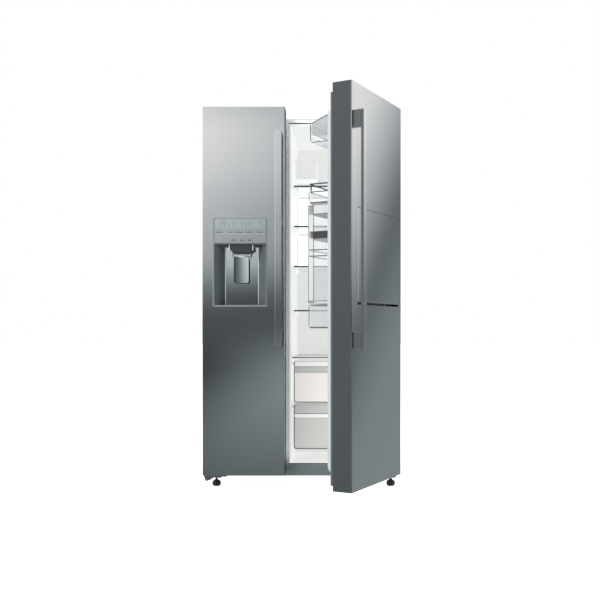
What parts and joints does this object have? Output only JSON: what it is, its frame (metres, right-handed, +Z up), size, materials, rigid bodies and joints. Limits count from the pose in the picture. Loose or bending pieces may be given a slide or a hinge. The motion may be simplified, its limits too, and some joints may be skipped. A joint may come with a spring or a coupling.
{
  "type": "side by side refrigerator",
  "caption": "Two-door upright refrigerator with ice and water dispenser, bar handles and a fold-down home bar, one door ajar",
  "frame": {"origin": "on the floor, in the middle of the box that the part fills as it rests, 143 mm behind the plane of the closed door fronts", "axes": "+Z up, +X to the right seen from the front, +Y to the back of the cabinet"},
  "size_m": [0.9292, 1.1524, 1.797],
  "materials": {
    "stainless": "vertical brushed, satin",
    "handle_metal": "fine brushed, satin",
    "side_paint": "satin paint with a faint texture",
    "zinc_sheet": "zinc coated, satin",
    "frame_steel": "satin paint",
    "hinge_steel": "satin paint",
    "foam": "rigid foam, matt",
    "white_liner": "moulded, semi gloss",
    "white_plastic": "moulded, semi gloss",
    "trim_plastic": "satin",
    "grey_plastic": "satin",
    "dark_plastic": "satin",
    "black_plastic": "satin",
    "panel_silver": "metallic film",
    "clear_plastic": "clear moulded",
    "smoke_plastic": "smoky clear moulded",
    "shelf_glass": "toughened, clear",
    "lamp_diffuser": "opal diffuser",
    "white_wire": "plastic coated wire",
    "wire_steel": "satin",
    "aluminium_fins": "mill finish",
    "black_metal": "gloss paint",
    "seal_rubber": "soft matt"
  },
  "bodies": {
    "cabinet": {"side_panel_left": "side_paint", "side_panel_right": "side_paint", "top_panel": "side_paint", "back_panel": "zinc_sheet", "base_pan": "zinc_sheet", "front_frame": "frame_steel", "foam_insulation": "foam", "fridge_liner": "white_liner", "freezer_liner": "white_liner", "air_duct_cover": "white_plastic", "light_panel": "lamp_diffuser", "shelf_glass": "shelf_glass", "shelf_trims": "trim_plastic", "crisper_cover": "shelf_glass", "crisper_runners": "white_plastic", "freezer_shelves": "white_wire", "freezer_baskets": "clear_plastic", "ice_maker": "grey_plastic", "ice_bucket": "clear_plastic", "evaporator": "aluminium_fins", "evaporator_cover": "white_plastic", "compressor": "black_metal", "condenser": "black_metal", "drain_pan": "black_plastic", "machine_room_cover": "zinc_sheet", "top_hinges": "hinge_steel", "hinge_covers": "grey_plastic", "bottom_hinges": "hinge_steel"},
    "upper_crisper": {"upper_crisper": "clear_plastic"},
    "lower_crisper": {"lower_crisper": "clear_plastic"},
    "evaporator_fan": {"evaporator_fan": "grey_plastic"},
    "condenser_fan": {"condenser_fan": "black_plastic"},
    "ice_auger": {"ice_auger": "wire_steel"},
    "foot_left": {"foot_left": "black_plastic"},
    "foot_right": {"foot_right": "black_plastic"},
    "rear_rollers": {"rear_rollers": "black_plastic"},
    "freezer_door": {"freezer_door_skin": "stainless", "freezer_door_caps": "dark_plastic", "freezer_door_foam": "foam", "freezer_door_liner": "white_liner", "freezer_gasket": "seal_rubber", "freezer_handle": "handle_metal", "freezer_door_bins": "clear_plastic", "dispenser_housing": "dark_plastic", "control_panel": "panel_silver", "nozzle_housing": "dark_plastic"},
    "dispenser_paddle": {"dispenser_paddle": "dark_plastic"},
    "fridge_door": {"fridge_door_skin": "stainless", "fridge_door_caps": "dark_plastic", "fridge_door_foam": "foam", "fridge_door_liner": "white_liner", "fridge_gasket": "seal_rubber", "fridge_handle": "handle_metal", "door_bins": "clear_plastic", "dairy_box": "clear_plastic", "home_bar_housing": "clear_plastic"},
    "dairy_lid": {"dairy_lid": "smoke_plastic"},
    "home_bar_door": {"home_bar_front": "stainless", "home_bar_back": "white_liner", "home_bar_gasket": "seal_rubber"}
  },
  "joints": [
    {"name": "fridge_door_hinge", "type": "hinge", "parent": "cabinet", "child": "fridge_door", "pos_m": [0.42, -0.105, 0.9], "axis": [0, 0, 1], "range_deg": [-63, 57]},
    {"name": "freezer_door_hinge", "type": "hinge", "parent": "cabinet", "child": "freezer_door", "pos_m": [-0.44, -0.105, 0.9], "axis": [0, 0, -1], "range_deg": [0, 120]},
    {"name": "home_bar_hinge", "type": "hinge", "parent": "fridge_door", "child": "home_bar_door", "pos_m": [0.34238, -0.31461, 0.876], "axis": [0.454, 0.891, 0], "range_deg": [0, 90]},
    {"name": "dairy_lid_hinge", "type": "hinge", "parent": "fridge_door", "child": "dairy_lid", "pos_m": [0.19867, -0.27505, 1.676], "axis": [0.454, 0.891, 0], "range_deg": [0, 50]},
    {"name": "dispenser_paddle_hinge", "type": "hinge", "parent": "freezer_door", "child": "dispenser_paddle", "pos_m": [-0.287, -0.096, 1.101], "axis": [1, 0, 0], "range_deg": [0, 9], "stiffness_Nm_per_rad": 1},
    {"name": "upper_crisper_slide", "type": "slide", "parent": "cabinet", "child": "upper_crisper", "axis": [0, -1, 0], "range_m": [0, 0.115]},
    {"name": "lower_crisper_slide", "type": "slide", "parent": "cabinet", "child": "lower_crisper", "axis": [0, -1, 0], "range_m": [0, 0.115]},
    {"name": "evaporator_fan_spin", "type": "hinge", "parent": "cabinet", "child": "evaporator_fan", "pos_m": [-0.262, 0.457, 1.19], "axis": [0, 1, 0], "continuous": true},
    {"name": "condenser_fan_spin", "type": "hinge", "parent": "cabinet", "child": "condenser_fan", "pos_m": [-0.06, 0.465, 0.165], "axis": [1, 0, 0], "continuous": true},
    {"name": "ice_auger_spin", "type": "hinge", "parent": "cabinet", "child": "ice_auger", "pos_m": [-0.281, 0.257, 1.395], "axis": [0, 1, 0], "continuous": true},
    {"name": "foot_left_turn", "type": "hinge", "parent": "cabinet", "child": "foot_left", "pos_m": [-0.418, -0.016, 0.02], "axis": [0, 0, 1], "continuous": true},
    {"name": "foot_right_turn", "type": "hinge", "parent": "cabinet", "child": "foot_right", "pos_m": [0.422, -0.016, 0.02], "axis": [0, 0, 1], "continuous": true},
    {"name": "rear_rollers_spin", "type": "hinge", "parent": "cabinet", "child": "rear_rollers", "pos_m": [-0.01, 0.517, 0.018], "axis": [1, 0, 0], "continuous": true}
  ]
}
